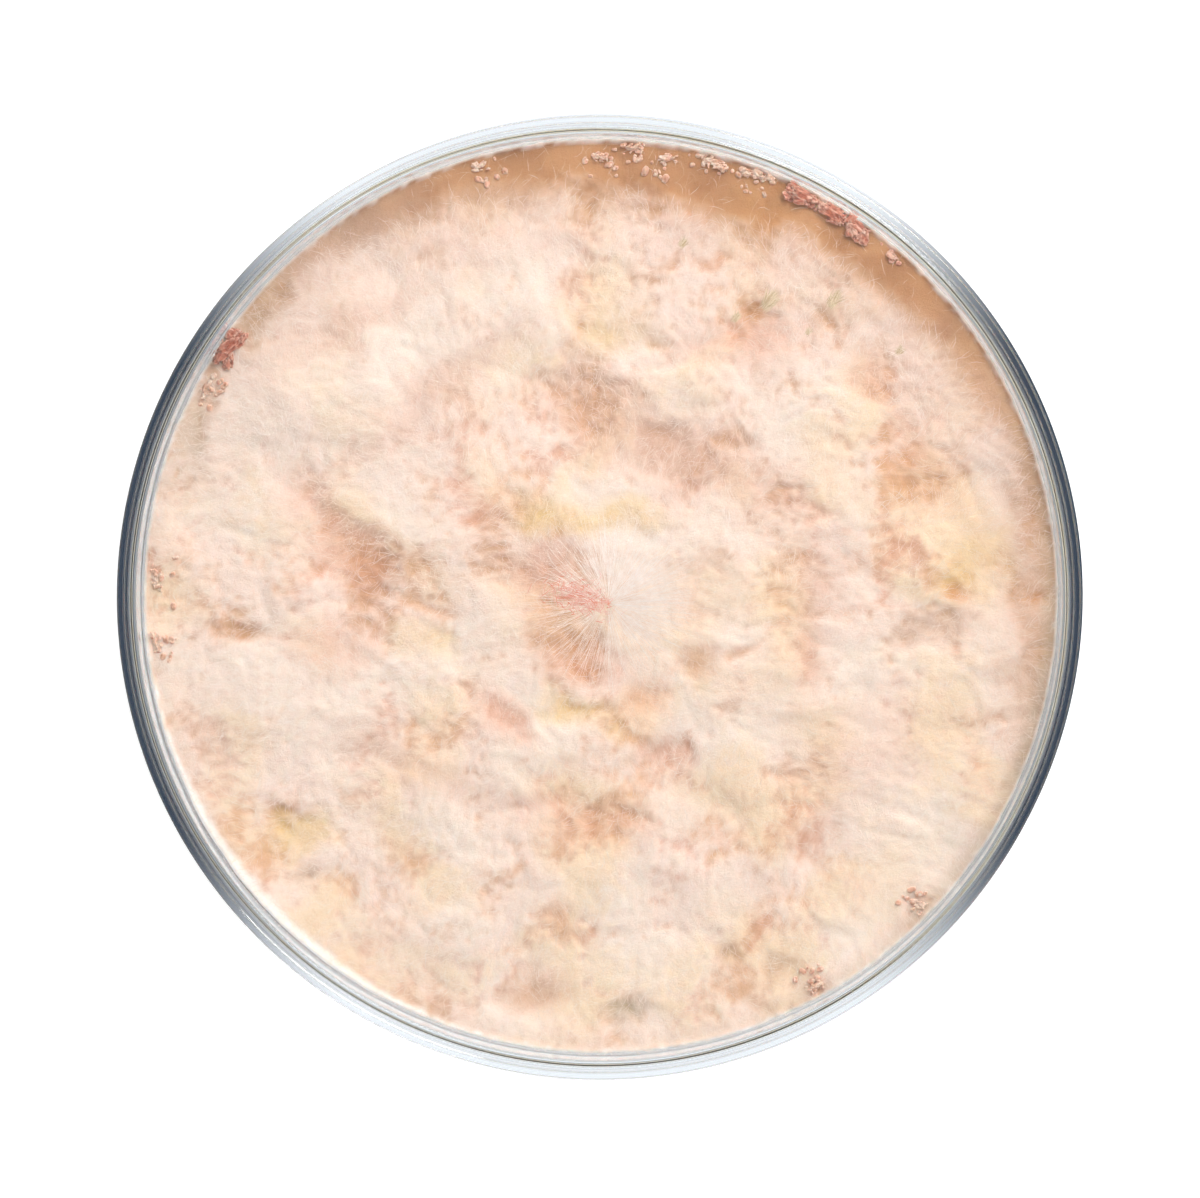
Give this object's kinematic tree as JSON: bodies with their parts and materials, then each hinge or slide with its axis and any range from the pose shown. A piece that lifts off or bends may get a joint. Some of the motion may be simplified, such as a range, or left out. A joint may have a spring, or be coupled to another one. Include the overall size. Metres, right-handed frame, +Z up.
{
  "type": "petri dish",
  "caption": "Round shallow clear dish with a loose overlapping lid, holding a fluffy cream fungal culture on agar.",
  "frame": {"origin": "middle of the circle that the dish's foot ring stands on", "axes": "+Z up along the dish's axis; +Y towards the thin tan edge of the culture, the top of the usual view from above"},
  "size_m": [0.1, 0.1, 0.0163],
  "materials": {
    "clear_plastic": "polished",
    "agar_gel": "gloss",
    "mycelium": "matte",
    "coral_threads": "matte",
    "salmon_crust": "matte",
    "pale_crumb": "matte"
  },
  "bodies": {
    "dish": {"dish_base": "clear_plastic", "agar_medium": "agar_gel", "mycelium_mat": "mycelium", "centre_tuft": "coral_threads", "crust_upper_right_1": "salmon_crust", "crust_upper_right_2": "salmon_crust", "crust_upper_right_3": "salmon_crust", "crumb_right_of_top": "salmon_crust", "crust_top_1": "pale_crumb", "crust_top_2": "pale_crumb", "crumb_top_1": "pale_crumb", "crumb_top_2": "pale_crumb", "crumb_top_3": "pale_crumb", "crumb_top_left": "pale_crumb", "crust_left_1": "salmon_crust", "crust_left_2": "pale_crumb", "crumb_left_3": "pale_crumb", "crumb_left_4": "pale_crumb", "crumb_lower_right_1": "pale_crumb", "crumb_lower_right_2": "pale_crumb"},
    "lid": {"lid": "clear_plastic"}
  },
  "joints": [
    {"name": "lid_lift", "type": "slide", "parent": "dish", "child": "lid", "axis": [0, 0, 1], "range_m": [0, 0.03]}
  ]
}
